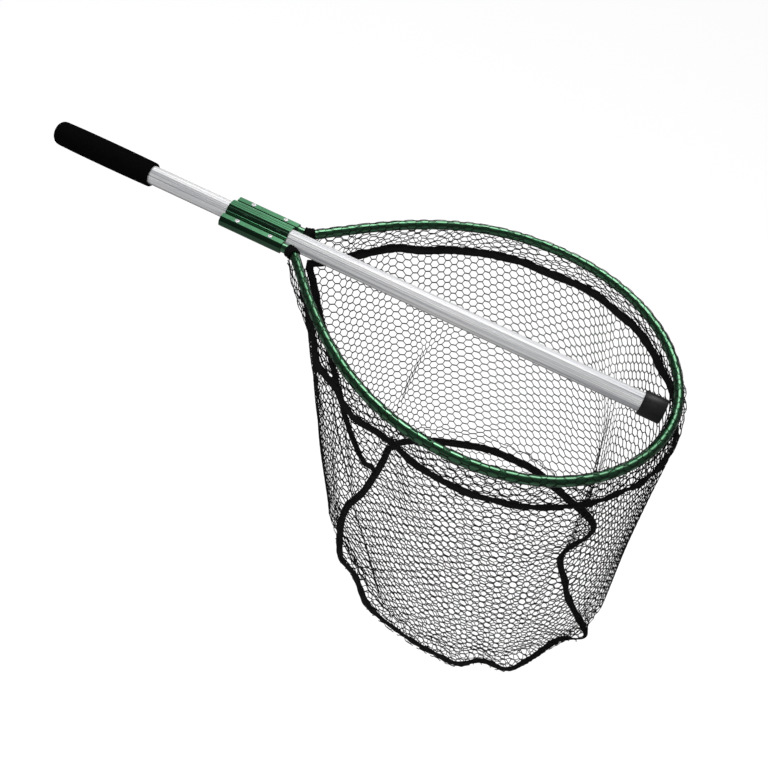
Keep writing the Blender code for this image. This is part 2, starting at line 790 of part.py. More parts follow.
def build_tape(name, edge, top, bottom):
    rings = [[(x, y, z) for x, y in edge] for z in (top, bottom)]
    skin_of(name, rings, TAPE, TAPE_THICKNESS)


def build_side_wall(upper, lower):
    rings = []
    for i in range(WALL_LEVELS + 1):
        share = i / WALL_LEVELS
        z = WALL_TOP + (WALL_BOTTOM - WALL_TOP) * share
        rings.append(
            [
                (a[0] + (b[0] - a[0]) * share, a[1] + (b[1] - a[1]) * share, z)
                for a, b in zip(upper, lower)
            ]
        )
    skin_of("net_side_wall", rings, NET, NET_THICKNESS)


def build_bottom_panel(edge):
    """A shallow dish that sags towards its centre."""
    rings = []
    for share in PANEL_SHARES:
        z = PANEL_RIM - BOTTOM_SAG * (1 - share**2)
        rings.append([(BAG_LEAN_X + (x - BAG_LEAN_X) * share, y * share, z) for x, y in edge])
    centre = (BAG_LEAN_X, 0.0, PANEL_RIM - BOTTOM_SAG)
    skin_of("net_bottom_panel", rings, NET, NET_THICKNESS, centre)


# ---------------------------------------------------------------- assembly
build_yoke()
build_hoop()
for side, y in SIDES:
    for end, x in RIVET_ENDS:
        build_rivet(f"rivet_{side}_{end}", x, y)
        build_mandrel(f"rivet_mandrel_{side}_{end}", x, y)

build_handle()
build_grip()
build_cap()
build_button()
build_clip()

build_lashings()
build_sleeve()
upper_edge = top_ring()
lower_edge = bottom_ring()
build_tape("upper_binding_tape", upper_edge, TAPE_TOP, TAPE_BOTTOM)
build_side_wall(upper_edge, lower_edge)
build_tape("lower_binding_tape", lower_edge, HEM_TOP, HEM_BOTTOM)
build_bottom_panel(lower_edge)

bpy.context.view_layer.update()
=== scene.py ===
# A hand net: a tubular hoop, a yoke and a handle from CAD, with a hanging bag of knotless
# netting, its woven tapes and its lashings built here. The handle runs along x; the hoop lies
# flat in the xy plane with its tip at +x and its left leg at +y; the bag hangs towards -z.
import math
from collections import namedtuple

import bpy
import numpy as np
from mathutils import Matrix, Vector


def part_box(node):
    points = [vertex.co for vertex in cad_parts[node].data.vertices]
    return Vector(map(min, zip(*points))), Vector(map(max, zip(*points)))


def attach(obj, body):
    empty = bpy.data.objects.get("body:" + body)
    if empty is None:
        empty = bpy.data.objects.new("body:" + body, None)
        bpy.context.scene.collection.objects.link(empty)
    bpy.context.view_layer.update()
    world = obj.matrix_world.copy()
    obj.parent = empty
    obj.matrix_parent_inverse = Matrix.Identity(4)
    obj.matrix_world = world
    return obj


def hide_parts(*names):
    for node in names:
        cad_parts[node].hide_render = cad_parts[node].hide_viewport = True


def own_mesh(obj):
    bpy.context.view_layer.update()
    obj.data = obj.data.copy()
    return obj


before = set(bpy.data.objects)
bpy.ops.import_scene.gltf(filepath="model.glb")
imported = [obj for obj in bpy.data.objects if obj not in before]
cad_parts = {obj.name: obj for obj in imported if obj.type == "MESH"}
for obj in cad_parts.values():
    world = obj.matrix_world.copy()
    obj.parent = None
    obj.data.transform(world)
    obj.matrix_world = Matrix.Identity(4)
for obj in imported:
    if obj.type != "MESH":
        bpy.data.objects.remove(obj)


def note_size():
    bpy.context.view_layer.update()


note_size()

# Lengths are in millimetres from the handle axis at the yoke's +x face, unless marked as metres.
MM = 0.001
TURN = 2 * math.pi
yoke_low, yoke_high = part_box("yoke")
ZERO = np.array([yoke_high.x, 0.0, (yoke_low.z + yoke_high.z) / 2])  # metres

# the hoop
LEG_OFFSET = 21.8  # each leg's centre line from the handle axis
TUBE_RADIUS = 6.35
LEG_STRAIGHT = 6.0
LEG_BEND_RADIUS = 22.0
LEG_SPREAD = math.radians(50.4)
HOOP_WIDEST = np.array([312.7, 220.4])
HOOP_TIP = np.array([529.6, 0.0])

# the bag
UPPER_Z = -41.0
LOWER_Z = -390.0
LOWER_MIDDLE = np.array([365.0, -5.0])
AROUND = 216  # cloth columns round the bag
DOWN = 40  # cloth rows down the wall
RINGS = 14  # cloth rings in the bottom panel

CAMERA_AT = np.array([391.32, -1021.60, 845.52])


# ================================================================ vectors and curves
def unit(vectors):
    return vectors / np.maximum(np.linalg.norm(vectors, axis=-1, keepdims=True), 1e-9)


def ease(low, high, x):
    """A smooth step from 0 at low to 1 at high."""
    t = np.clip((np.asarray(x, float) - low) / (high - low), 0, 1)
    return t * t * (3 - 2 * t)


def bell(distance, width):
    return np.exp(-((distance / width) ** 2))


def ring_gap(share, middle):
    """Signed distance round a ring, from -0.5 to 0.5."""
    return (np.asarray(share) - middle + 0.5) % 1.0 - 0.5


def table_at(where, table):
    """Reads a table of (place, value) rows."""
    return np.interp(where, *zip(*table))


def points_at(where, known, points):
    """Reads points off a line whose own points lie at the known places."""
    return np.stack([np.interp(where, known, column) for column in points.T], -1)


def cubic(before, start, end, after, t):
    """Smooth interpolation between start and end, shaped by their neighbours."""
    bend = 2 * before - 5 * start + 4 * end - after + t * (3 * (start - end) + after - before)
    return start + 0.5 * t * (end - before + t * bend)


def bezier(start, pull_start, pull_end, end, steps):
    """A Bezier curve's points, without the first."""
    t = np.linspace(0, 1, steps + 1)[1:, None]
    return (
        (1 - t) ** 3 * start
        + 3 * (1 - t) ** 2 * t * pull_start
        + 3 * (1 - t) * t**2 * pull_end
        + t**3 * end
    )


def run_lengths(line):
    return np.concatenate([[0], np.cumsum(np.linalg.norm(np.diff(line, axis=0), axis=1))])


def closed_curve(points, count):
    """A smooth closed curve through the points, resampled evenly, starting at the first."""
    dense = 24
    place = np.arange(len(points) * dense) / dense
    first = place.astype(int)
    corners = (points[(first + o) % len(points)] for o in (-1, 0, 1, 2))
    line = cubic(*corners, (place - first)[:, None])
    line = np.concatenate([line, line[:1]])
    run = run_lengths(line)
    return points_at(run[-1] * np.arange(count) / count, run, line)


def smooth_noise(share, drop, seed, waves, lowest, highest):
    """A quiet field, periodic in share, made of a few waves of lowest to highest frequency."""
    pick = np.random.RandomState(seed)
    total = np.zeros(np.broadcast(share, drop).shape)
    for _ in range(waves):
        count = pick.randint(lowest, highest + 1)
        slant = pick.uniform(0.2, 1.6)
        phase, shift = pick.uniform(0, TURN, 2)
        lean = slant * math.pi * drop
        total = total + np.sin(TURN * count * share + phase + lean) * np.cos(lean + shift)
    return total / math.sqrt(waves)


# ================================================================ the hoop's centre line
def hoop_half():
    """The left half, from the yoke to the tip."""
    angle = np.linspace(0, LEG_SPREAD, 12)
    arc = np.stack([
        LEG_STRAIGHT + LEG_BEND_RADIUS * np.sin(angle),
        LEG_OFFSET + LEG_BEND_RADIUS * (1 - np.cos(angle)),
    ], 1)
    # how far each Bezier end is pulled along its tangent
    leg_pull = np.array([math.cos(LEG_SPREAD), math.sin(LEG_SPREAD)]) * 101.9
    side_pull_back, side_pull_on, tip_pull = [140.5, 0], [137.3, 0], [0, 106.1]
    return np.concatenate([
        [[0.0, LEG_OFFSET]],
        arc,
        bezier(arc[-1], arc[-1] + leg_pull, HOOP_WIDEST - side_pull_back, HOOP_WIDEST, 40),
        bezier(HOOP_WIDEST, HOOP_WIDEST + side_pull_on, HOOP_TIP + tip_pull, HOOP_TIP, 50),
    ])


HALF = hoop_half()
# from the left leg by the tip to the right leg
HOOP = np.concatenate([HALF, (HALF * [1, -1])[::-1][1:]])
HOOP_RUN = run_lengths(HOOP)
HOOP_LENGTH = HOOP_RUN[-1]


def hoop_at(share):
    """Point and inward normal of the hoop's centre line at a share of its length."""
    where = np.asarray(share, float) * HOOP_LENGTH
    reach = 4  # either way, for the tangent
    ahead, behind = (points_at(where + step, HOOP_RUN, HOOP) for step in (reach, -reach))
    tangent = unit(ahead - behind)
    inward = np.stack([tangent[..., 1], -tangent[..., 0]], -1)
    return points_at(where, HOOP_RUN, HOOP), inward


# ================================================================ the bag's two taped edges
# share of the hoop's length from the left leg, and how far inside the hoop the tape hangs
UPPER_INSET = (
    (0.031, 10), (0.051, 7.5), (0.080, 2.5), (0.106, -2), (0.130, 5), (0.164, 1.5), (0.200, -1),
    (0.233, -4), (0.257, -1), (0.286, -6.5), (0.312, -10.5), (0.334, -8), (0.358, -11.5),
    (0.386, -10), (0.412, -9), (0.427, -13), (0.445, -14.5), (0.470, -15), (0.493, -17),
    (0.507, -17), (0.535, -13), (0.557, -11), (0.578, -7), (0.606, -6), (0.634, -4.5),
    (0.664, -4.5), (0.686, -3.5), (0.708, -3.5), (0.733, -1), (0.761, 2.5), (0.778, 8),
    (0.800, 6), (0.817, -1.5), (0.836, -2), (0.851, 3.5), (0.867, 0.5), (0.881, -2),
    # the neck: the edge runs on under the right leg
    (0.895, 2), (0.909, 6), (0.923, 8.5), (0.938, 9.5), (0.953, 10.5), (0.967, 11.5),
)
# and crosses by a point on the axis to the corner where the seam starts
NECK_CROSSING = (27, 0)
NECK_CORNER = (27, 20)

# the lower edge hangs in waves: direction from its middle, in degrees from +x towards +y,
# and distance
LOWER_WAVES = (
    (179, 174), (165, 179), (155, 191), (148, 206), (139, 209), (126, 204), (110, 202), (99, 205),
    (88, 206), (77, 210), (65, 208), (54, 215), (47, 223), (42, 221), (38, 203), (33, 171),
    (26, 151), (18, 149), (9, 157), (1, 165), (-6, 186), (-11, 209), (-15, 212), (-20, 197),
    (-25, 190), (-32, 191), (-41, 196), (-52, 203), (-62, 190), (-72, 199), (-80, 195),
    (-91, 191), (-107, 190), (-117, 191), (-126, 184), (-133, 184), (-141, 193), (-151, 190),
    (-162, 188), (-171, 184),
)

# share round the upper edge, and the share round the lower edge that hangs below it
HANGS = np.array((
    (0.0, 0.036), (0.06, 0.085), (0.12, 0.145), (0.18, 0.22), (0.24, 0.30), (0.30, 0.381),
    (0.329, 0.417), (0.358, 0.449), (0.475, 0.548), (0.55, 0.605), (0.65, 0.67), (0.75, 0.735),
    (0.845, 0.795), (0.87, 0.83), (0.90, 0.88), (0.95, 0.955),
))


def upper_loop():
    shares, insets = np.array(UPPER_INSET).T
    centre, inward = hoop_at(shares)
    edge = centre + inward * insets[:, None]
    return closed_curve(np.concatenate([[NECK_CORNER], edge, [NECK_CROSSING]]), AROUND)


def lower_loop(count):
    degrees, reach = np.array(LOWER_WAVES, float).T
    angle = np.radians(degrees)
    heading = np.stack([np.cos(angle), np.sin(angle)], 1)
    return closed_curve(LOWER_MIDDLE + reach[:, None] * heading, count)


def hang_table():
    """Upper share against lower share, one turn either way, with the corners smoothed off."""
    known = np.concatenate([HANGS - 1, HANGS, HANGS + 1])
    upper = np.arange(-720, 1441) / 720
    lower = np.interp(upper, known[:, 0], known[:, 1])
    soften = np.hanning(27)
    padded = np.pad(lower - upper, len(soften) // 2, mode="edge")
    return upper, upper + np.convolve(padded, soften / soften.sum(), "valid")


HANG_UPPER, HANG_LOWER = hang_table()


# ================================================================ the bag hung as cloth
# Places on the bag are given as share, 0 to 1 round the ring from the seam, and drop, 0 at the
# upper tape to 1 at the lower.
def wall_start():
    """The wall before it is let go: rows from the upper tape down to the lower one."""
    top = upper_loop()
    fine_count = 2880
    fine = lower_loop(fine_count)
    fine = np.concatenate([fine, fine[:1]])
    share = (np.arange(AROUND) / AROUND)[None, :]
    below = np.interp(share[0], HANG_UPPER, HANG_LOWER) % 1.0
    bottom = points_at(below * fine_count, np.arange(fine_count + 1), fine)
    drop = np.linspace(0, 1, DOWN + 1)[:, None]
    flat = top * (1 - drop[..., None]) + bottom * drop[..., None]
    out = unit(flat - flat.mean(1, keepdims=True))
    # random swelling, calmer at the tip, then one low swell near the right leg and one at the seam
    calm = 1 - 0.8 * bell(ring_gap(share, 0.47), 0.07)
    swell = np.sin(math.pi * drop) * calm * (1.5 + 5.0 * smooth_noise(share, drop, 11, 7, 3, 11))
    swell = swell + 2.0 * np.sin(math.pi * drop**1.6) * bell(ring_gap(share, 0.915), 0.045)
    swell = swell + 17.0 * np.sin(math.pi * drop**1.7) * bell(ring_gap(share, 0.0), 0.028)
    flat = flat + out * swell[:, :, None]
    # under the right leg the edge is drawn up towards the lashing
    raised = 12.0 * ease(0.885, 0.955, share) * (1 - ease(0.975, 1.0, share))
    z = (UPPER_Z - 5.5 + raised) * (1 - drop) + (LOWER_Z + 5.0) * drop
    return np.concatenate([flat, z[:, :, None]], 2)


def panel_start(edge):
    """The bottom panel: rings from the lower tape to the middle, sagging a little."""
    middle = np.array([*LOWER_MIDDLE, 0.0])
    rings = []
    for r in range(1, RINGS):
        reach = 1 - r / RINGS
        ring = middle + (edge - middle) * [reach, reach, 0]
        inner = 1 - reach**2
        sag = 4 * inner + 9 * math.sin(math.pi * reach**3)
        ring[:, 2] = edge[:, 2] * reach**2 + (LOWER_Z - 7) * inner - sag
        rings.append(ring)
    return np.array(rings), np.array([*LOWER_MIDDLE, LOWER_Z - 11])


def cloth_faces(middle_index):
    """Quads down the wall and across the panel's rings, and triangles at its middle."""
    here = np.arange(AROUND)
    beside = (here + 1) % AROUND
    # the panel's rings follow the wall's rows, so every row starts AROUND points on
    faces = []
    for i in range(DOWN + RINGS - 1):
        a, b = i * AROUND, (i + 1) * AROUND
        faces += np.stack([a + here, a + beside, b + beside, b + here], 1).tolist()
    last = middle_index - AROUND
    middle = np.full(AROUND, middle_index)
    faces += np.stack([last + here, last + beside, middle], 1).tolist()
    return faces


CLOTH = dict(
    quality=6, mass=0.12, air_damping=3.0,
    tension_stiffness=18, compression_stiffness=4, shear_stiffness=3, bending_stiffness=0.25,
    tension_damping=12, compression_damping=12, shear_damping=8,
    vertex_group_mass="held", pin_stiffness=6.0,
    shrink_min=-0.022,  # the cloth grows by this share
)
CLOTH_FRAMES = 45
CLOTH_GRAVITY = (1.6, 0.0, -9.6)  # draws the bag a little towards the tip


def hang_cloth(points):
    """Lets the bag hang as cloth from its upper tape and returns where its points settle."""
    mesh = bpy.data.meshes.new("bag_cloth")
    mesh.from_pydata((points * MM + ZERO).tolist(), [], cloth_faces(len(points) - 1))
    bag = bpy.data.objects.new("bag_cloth", mesh)
    scene = bpy.context.scene
    scene.collection.objects.link(bag)
    held = bag.vertex_groups.new(name="held")
    held.add(list(range(AROUND)), 1.0, "REPLACE")
    lower_row = DOWN * AROUND
    held.add(list(range(lower_row - AROUND, lower_row + AROUND)), 0.75, "REPLACE")
    cloth = bag.modifiers.new("cloth", "CLOTH")
    for name, value in CLOTH.items():
        setattr(cloth.settings, name, value)
    cloth.collision_settings.use_collision = False
    cloth.collision_settings.use_self_collision = False
    usual_gravity = Vector(scene.gravity)
    scene.gravity = CLOTH_GRAVITY
    cloth.point_cache.frame_start = 1
    cloth.point_cache.frame_end = CLOTH_FRAMES
    for f in range(1, CLOTH_FRAMES + 1):
        scene.frame_set(f)
    final = bag.evaluated_get(bpy.context.evaluated_depsgraph_get())
    shape = final.to_mesh()
    settled = np.empty(len(shape.vertices) * 3, np.float32)
    shape.vertices.foreach_get("co", settled)
    final.to_mesh_clear()
    scene.frame_set(1)
    scene.gravity = usual_gravity
    bpy.data.objects.remove(bag, do_unlink=True)
    return (settled.reshape(-1, 3).astype(float) - ZERO) / MM


def bag_shape():
    """The settled bag: the wall's rows, and the panel's rings from the tape to the middle."""
    wall = wall_start()
    edge = wall[-1].copy()
    edge[:, 2] = LOWER_Z - 6
    rings, middle = panel_start(edge)
    start = [wall.reshape(-1, 3), rings.reshape(-1, 3), middle[None]]
    points = hang_cloth(np.concatenate(start))
    wall_count = (DOWN + 1) * AROUND
    wall = points[:wall_count].reshape(DOWN + 1, AROUND, 3)
    # how far the panel may sag is capped
    most = 24.0
    sag = (LOWER_Z - 14.0 - points[wall_count:, 2]).clip(0)
    points[wall_count:, 2] += sag - most * (1 - np.exp(-sag / most))
    rings = points[wall_count:-1].reshape(RINGS - 1, AROUND, 3)
    edge, middle = wall[-1] - [0, 0, 11.0], points[-1]
    centre = np.broadcast_to(middle, (1, AROUND, 3))
    return wall, np.concatenate([edge[None], rings, centre])


WALL, PANEL = bag_shape()


def grid_at(grid, share, drop):
    """Point on a smooth grid that closes round share and runs from drop = 0 to 1."""
    rows, around = grid.shape[:2]
    x = (share % 1.0) * around
    column = np.floor(x).astype(int)
    y = np.clip(drop, 0, 1) * (rows - 1)
    top = np.minimum(np.floor(y).astype(int), rows - 2)

    def row(offset):
        k = np.clip(top + offset, 0, rows - 1)
        known = (grid[k, (column + o) % around] for o in (-1, 0, 1, 2))
        return cubic(*known, (x - column)[..., None])

    return cubic(row(-1), row(0), row(1), row(2), (y - top)[..., None])


def wall_at(share, drop):
    return grid_at(WALL, share, drop)


def normal_of(surface, share, drop, share_step=0.002, drop_step=0.01):
    across = surface(share + share_step, drop) - surface(share - share_step, drop)
    lower = surface(share, np.minimum(drop + drop_step, 1))
    return unit(np.cross(across, lower - surface(share, np.maximum(drop - drop_step, 0))))


# ================================================================ building pieces
def add_piece(name, shape, material, slot, *replaces):
    """A mesh from (points, triangles) in millimetres, riding on the net's frame."""
    points, triangles = shape
    mesh = bpy.data.meshes.new(name)
    points = (points * MM + ZERO).astype(np.float32)
    triangles = np.asarray(triangles, np.int32)
    mesh.vertices.add(len(points))
    mesh.vertices.foreach_set("co", points.ravel())
    mesh.loops.add(triangles.size)
    mesh.loops.foreach_set("vertex_index", triangles.ravel())
    mesh.polygons.add(len(triangles))
    mesh.polygons.foreach_set("loop_start", np.arange(0, triangles.size, 3, dtype=np.int32))
    mesh.polygons.foreach_set("use_smooth", np.ones(len(triangles), bool))
    mesh.update(calc_edges=True)
    mesh.validate()
    obj = bpy.data.objects.new(name, mesh)
    bpy.context.scene.collection.objects.link(obj)
    mesh.materials.append(material)
    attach(obj, "frame")
    if replaces:
        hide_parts(*replaces)


def tubes(lines, radius, up, sides=5):
    """Round strands along lines (N, K, 3), with closed ends. radius is a number or (N, K)."""
    count, stations = lines.shape[:2]
    radius = np.broadcast_to(np.asarray(radius, float), (count, stations))[..., None]
    ahead = unit(np.gradient(lines, axis=1))
    across = unit(np.cross(ahead, up))
    lift = np.cross(across, ahead)
    angle = (TURN * np.arange(sides) / sides)[:, None]
    spoke = np.cos(angle) * lift[:, :, None] + np.sin(angle) * across[:, :, None]
    ring = lines[:, :, None] + radius[:, :, None] * spoke
    cap = ahead * radius * 0.6
    ends = np.stack([lines[:, 0] - cap[:, 0], lines[:, -1] + cap[:, -1]], 1)
    points = np.concatenate([ring.reshape(count, -1, 3), ends], 1)
    per_strand = stations * sides + 2
    here = np.arange(sides)
    beside = (here + 1) % sides
    faces = []
    for i in range(stations - 1):
        a, b = i * sides, (i + 1) * sides
        faces.append(np.stack([a + here, b + beside, a + beside], 1))
        faces.append(np.stack([a + here, b + here, b + beside], 1))
    last = (stations - 1) * sides
    faces.append(np.stack([np.full(sides, per_strand - 2), here, beside], 1))
    faces.append(np.stack([np.full(sides, per_strand - 1), last + beside, last + here], 1))
    strand = np.concatenate(faces)
    every = strand[None] + (np.arange(count) * per_strand)[:, None, None]
    return points.reshape(-1, 3), every.reshape(-1, 3)


def join(parts):
    points, faces, total = [], [], 0
    for part_points, part_faces in parts:
        points.append(part_points)
        faces.append(part_faces + total)
        total += len(part_points)
    return np.concatenate(points), np.concatenate(faces)


def hex_cells(columns, rows, closed):
    """Flat-topped cells: bars (N, 2, 2) and legs (M, 4, 2) as column and row numbers."""
    bar_half = 0.29  # half of a cell's flat side, as a share of a column
    column, row = np.meshgrid(np.arange(columns), np.arange(rows + 1), indexing="ij")
    column, row = column.ravel(), row.ravel()
    row = row + 0.5 * (column % 2)
    keep = row <= rows + 1e-6
    column, row = column[keep], row[keep]
    ends = (column - bar_half, row), (column + bar_half, row)
    bars = np.stack([np.stack(end, 1) for end in ends], 1)
    legs = []
    t = np.linspace(0, 1, 4)
    slope = 0.55 * ease(0, 1, t) + 0.45 * t
    for step in (-0.5, 0.5):
        inside = (row + step >= -1e-6) & (row + step <= rows + 1e-6)
        if not closed:
            inside &= column < columns - 1
        leg_x = column[inside, None] + bar_half + (1 - 2 * bar_half) * t
        leg_y = row[inside, None] + step * slope
        legs.append(np.stack([leg_x, leg_y], 2))
    return bars, np.concatenate(legs)


# ================================================================ materials
def fresh_material(name):
    made = bpy.data.materials.new(name)
    made.use_nodes = True
    nodes, links = made.node_tree.nodes, made.node_tree.links
    return made, nodes, links, nodes["Principled BSDF"]


def set_inputs(node, values):
    for name, value in values.items():
        node.inputs[name].default_value = value


def compute(nodes, links, kind, operation, *values):
    """A Math or VectorMath node whose inputs are sockets or plain values."""
    node = nodes.new("ShaderNode" + kind)
    node.operation = operation
    for slot, value in zip(node.inputs, values):
        if isinstance(value, bpy.types.NodeSocket):
            links.new(value, slot)
        else:
            slot.default_value = value
    return node


def colour_ramp(nodes, links, factor, stops):
    """The colour of a ramp; a stop is (place, colour), with one number for a grey."""
    node = nodes.new("ShaderNodeValToRGB")
    elements = node.color_ramp.elements
    while len(elements) < len(stops):
        elements.new(0.5)
    for element, (where, colour) in zip(elements, stops):
        rgb = colour if isinstance(colour, tuple) else (colour,) * 3
        element.position = where
        element.color = (*rgb, 1.0)
    links.new(factor, node.inputs["Fac"])
    return node.outputs["Color"]


def lift_surface(nodes, links, shader, height, strength, distance):
    lift = nodes.new("ShaderNodeBump")
    set_inputs(lift, {"Strength": strength, "Distance": distance})
    links.new(height, lift.inputs["Height"])
    links.new(lift.outputs["Normal"], shader.inputs["Normal"])


def tint(made, factor, stops):
    """Multiplies a material's base colour by a ramp."""
    nodes, links = made.node_tree.nodes, made.node_tree.links
    base = nodes["Principled BSDF"].inputs["Base Color"]
    source = base.links[0].from_socket
    tone = colour_ramp(nodes, links, factor, stops)
    mix = compute(nodes, links, "VectorMath", "MULTIPLY", source, tone)
    links.new(mix.outputs["Vector"], base)


def metal(name, light, dark, roughness, scale, bump, metallic,
          stretch=(1.0, 1.0, 1.0), coat=0.0, coat_ior=1.5):
    """Metal: stretched noise varies tone, gloss and surface."""
    made, nodes, links, shader = fresh_material(name)
    where = nodes.new("ShaderNodeTexCoord")
    stretched = nodes.new("ShaderNodeMapping")
    set_inputs(stretched, {"Scale": stretch})
    links.new(where.outputs["Object"], stretched.inputs["Vector"])
    grain = nodes.new("ShaderNodeTexNoise")
    set_inputs(grain, {"Scale": scale, "Detail": 3.0})
    links.new(stretched.outputs["Vector"], grain.inputs["Vector"])
    noise = grain.outputs["Fac"]
    tone = colour_ramp(nodes, links, noise, ((0.38, dark), (0.62, light)))
    links.new(tone, shader.inputs["Base Color"])
    gloss = nodes.new("ShaderNodeMapRange")
    set_inputs(gloss, {"To Min": roughness * 0.85, "To Max": roughness * 1.2})
    links.new(noise, gloss.inputs["Value"])
    links.new(gloss.outputs["Result"], shader.inputs["Roughness"])
    lift_surface(nodes, links, shader, noise, strength=bump, distance=0.0003)
    set_inputs(shader, {
        "Metallic": metallic, "Coat Weight": coat, "Coat Roughness": 0.10, "Coat IOR": coat_ior,
    })
    return made


def soft(name, colour, second, roughness, scale, bump, distance, gleam, voronoi=False):
    """Foam, plastic and cloth: a fine pattern varies the tone and lifts the surface."""
    made, nodes, links, shader = fresh_material(name)
    where = nodes.new("ShaderNodeTexCoord")
    if voronoi:
        grain = nodes.new("ShaderNodeTexVoronoi")
        pattern = grain.outputs["Distance"]
    else:
        grain = nodes.new("ShaderNodeTexNoise")
        set_inputs(grain, {"Detail": 4.0})
        pattern = grain.outputs["Fac"]
    set_inputs(grain, {"Scale": scale})
    links.new(where.outputs["Object"], grain.inputs["Vector"])
    tone = colour_ramp(nodes, links, pattern, ((0.25, colour), (0.75, second)))
    links.new(tone, shader.inputs["Base Color"])
    set_inputs(shader, {"Roughness": roughness, "Specular IOR Level": gleam})
    lift_surface(nodes, links, shader, pattern, strength=bump, distance=distance)
    return made


def plain(name, level, blue, gleam):
    """A matt near-black thread."""
    made, _, _, shader = fresh_material(name)
    set_inputs(shader, {
        "Base Color": (level, level, blue, 1), "Roughness": 0.8, "Specular IOR Level": gleam,
    })
    return made


# painted highlight and shade on each flute: how far off a flute's middle, as a share of an eighth
# turn, and brightness
FLUTE_LIGHT_AND_SHADE = (
    (0.00, 1.22), (0.035, 1.22), (0.06, 0.62), (0.11, 0.68), (0.15, 1.02), (0.25, 0.98),
    (0.30, 0.74), (0.36, 0.96), (0.40, 0.60), (0.44, 0.60), (0.48, 1.25), (0.54, 1.14), (1.0, 1.12),
)


def painted_flute_light(made, axis_z):
    """Fine lines of painted highlight and painted shade along the handle, one set to each flute;
    axis_z in metres.
    """
    nodes, links = made.node_tree.nodes, made.node_tree.links
    where = nodes.new("ShaderNodeTexCoord")
    split = nodes.new("ShaderNodeSeparateXYZ")
    links.new(where.outputs["Object"], split.inputs["Vector"])

    def sums(operation, *values):
        return compute(nodes, links, "Math", operation, *values).outputs["Value"]

    height = sums("SUBTRACT", split.outputs["Z"], axis_z)
    angle = sums("ARCTAN2", height, split.outputs["Y"])
    quarter = sums("MODULO", sums("ADD", angle, TURN), TURN / 4)
    off = sums("ABSOLUTE", sums("SUBTRACT", quarter, TURN / 8))
    tint(made, sums("DIVIDE", off, TURN / 8), FLUTE_LIGHT_AND_SHADE)


def shaded_flanks(made, level):
    """Darkens the extrusion's steep sides, as if they reflect a dark room."""
    nodes, links = made.node_tree.nodes, made.node_tree.links
    shape = nodes.new("ShaderNodeNewGeometry")
    split = nodes.new("ShaderNodeSeparateXYZ")
    links.new(shape.outputs["True Normal"], split.inputs["Vector"])
    up = compute(nodes, links, "Math", "ABSOLUTE", split.outputs["Z"])
    stops = ((0.0, level), (0.80, level * 1.2), (0.97, 0.84), (1.0, 0.84))
    tint(made, up.outputs["Value"], stops)


GREEN = metal(
    "green_anodised", light=(0.034, 0.33, 0.115), dark=(0.026, 0.28, 0.095),
    roughness=0.17, scale=90, bump=0.05, metallic=1.0, coat=1.0, coat_ior=1.7,
)
HOOP_GREEN = metal(
    "green_anodised_tube", light=(0.028, 0.34, 0.105), dark=(0.022, 0.29, 0.088),
    roughness=0.31, scale=90, bump=0.05, metallic=1.0, coat=1.0, coat_ior=2.2,
)
SILVER = metal(
    "silver_anodised", light=(0.90, 0.90, 0.90), dark=(0.48, 0.49, 0.52),
    roughness=0.38, stretch=(0.5, 48.0, 48.0), scale=6, bump=0.25, metallic=0.2,
)
# painted highlight and shade lines on the handle's flutes
painted_flute_light(SILVER, axis_z=0.0149)
shaded_flanks(GREEN, level=0.42)
STEEL = metal(
    "bright_steel", light=(0.92, 0.92, 0.93), dark=(0.84, 0.84, 0.86),
    roughness=0.34, scale=300, bump=0.05, metallic=0.3,
)
# near-black: painted shade in the hollow centre of each rivet, where the mandrel sits
MANDREL_SHADE_STEEL = metal(
    "pulled_steel_painted_shade", light=(0.02, 0.012, 0.012), dark=(0.012, 0.010, 0.010),
    roughness=0.5, scale=500, bump=0.1, metallic=0.4,
)
SPRING = metal(
    "spring_steel", light=(0.5, 0.5, 0.52), dark=(0.4, 0.4, 0.42),
    roughness=0.3, stretch=(1, 40, 1), scale=20, bump=0.1, metallic=1.0,
)
FOAM = soft(
    "black_foam", colour=0.0015, second=0.0035,
    roughness=0.95, scale=900, bump=0.55, distance=0.0003, gleam=0.03, voronoi=True,
)
PLASTIC = soft(
    "black_plastic", colour=(0.010, 0.010, 0.011), second=(0.018, 0.018, 0.019),
    roughness=0.36, scale=700, bump=0.10, distance=0.0004, gleam=0.45,
)
TAPE = soft(
    "black_tape", colour=(0.0065, 0.0065, 0.0068), second=(0.0165, 0.0165, 0.0172),
    roughness=0.9, scale=1500, bump=0.6, distance=0.0003, gleam=0.07,
)
CORD = plain("black_cord", level=0.006, blue=0.0062, gleam=0.08)
NET = plain("black_net", level=0.010, blue=0.010, gleam=0.10)


# ================================================================ the CAD pieces' looks
def shading_group(name, sharp):
    """Geometry nodes that shade smooth and keep edges over an angle, in radians, sharp."""
    group = bpy.data.node_groups.new(name, "GeometryNodeTree")
    for way in ("INPUT", "OUTPUT"):
        group.interface.new_socket("Geometry", in_out=way, socket_type="NodeSocketGeometry")
    nodes, links = group.nodes, group.links
    first, last = nodes.new("NodeGroupInput"), nodes.new("NodeGroupOutput")
    drop = nodes.new("GeometryNodeRemoveAttribute")
    set_inputs(drop, {"Name": "custom_normal"})
    weld = nodes.new("GeometryNodeMergeByDistance")
    set_inputs(weld, {"Distance": 1e-6})
    faces = nodes.new("GeometryNodeSetShadeSmooth")
    faces.domain = "FACE"
    set_inputs(faces, {"Shade Smooth": True})
    edges = nodes.new("GeometryNodeSetShadeSmooth")
    edges.domain = "EDGE"
    angle = nodes.new("GeometryNodeInputMeshEdgeAngle")
    under = nodes.new("FunctionNodeCompare")
    under.data_type = "FLOAT"
    under.operation = "LESS_THAN"
    set_inputs(under, {"B": sharp})
    links.new(first.outputs[0], drop.inputs["Geometry"])
    for before, after in ((drop, weld), (weld, faces), (faces, edges)):
        links.new(before.outputs["Geometry"], after.inputs["Geometry"])
    links.new(angle.outputs["Unsigned Angle"], under.inputs["A"])
    links.new(under.outputs["Result"], edges.inputs["Shade Smooth"])
    links.new(edges.outputs["Geometry"], last.inputs[0])
    return group


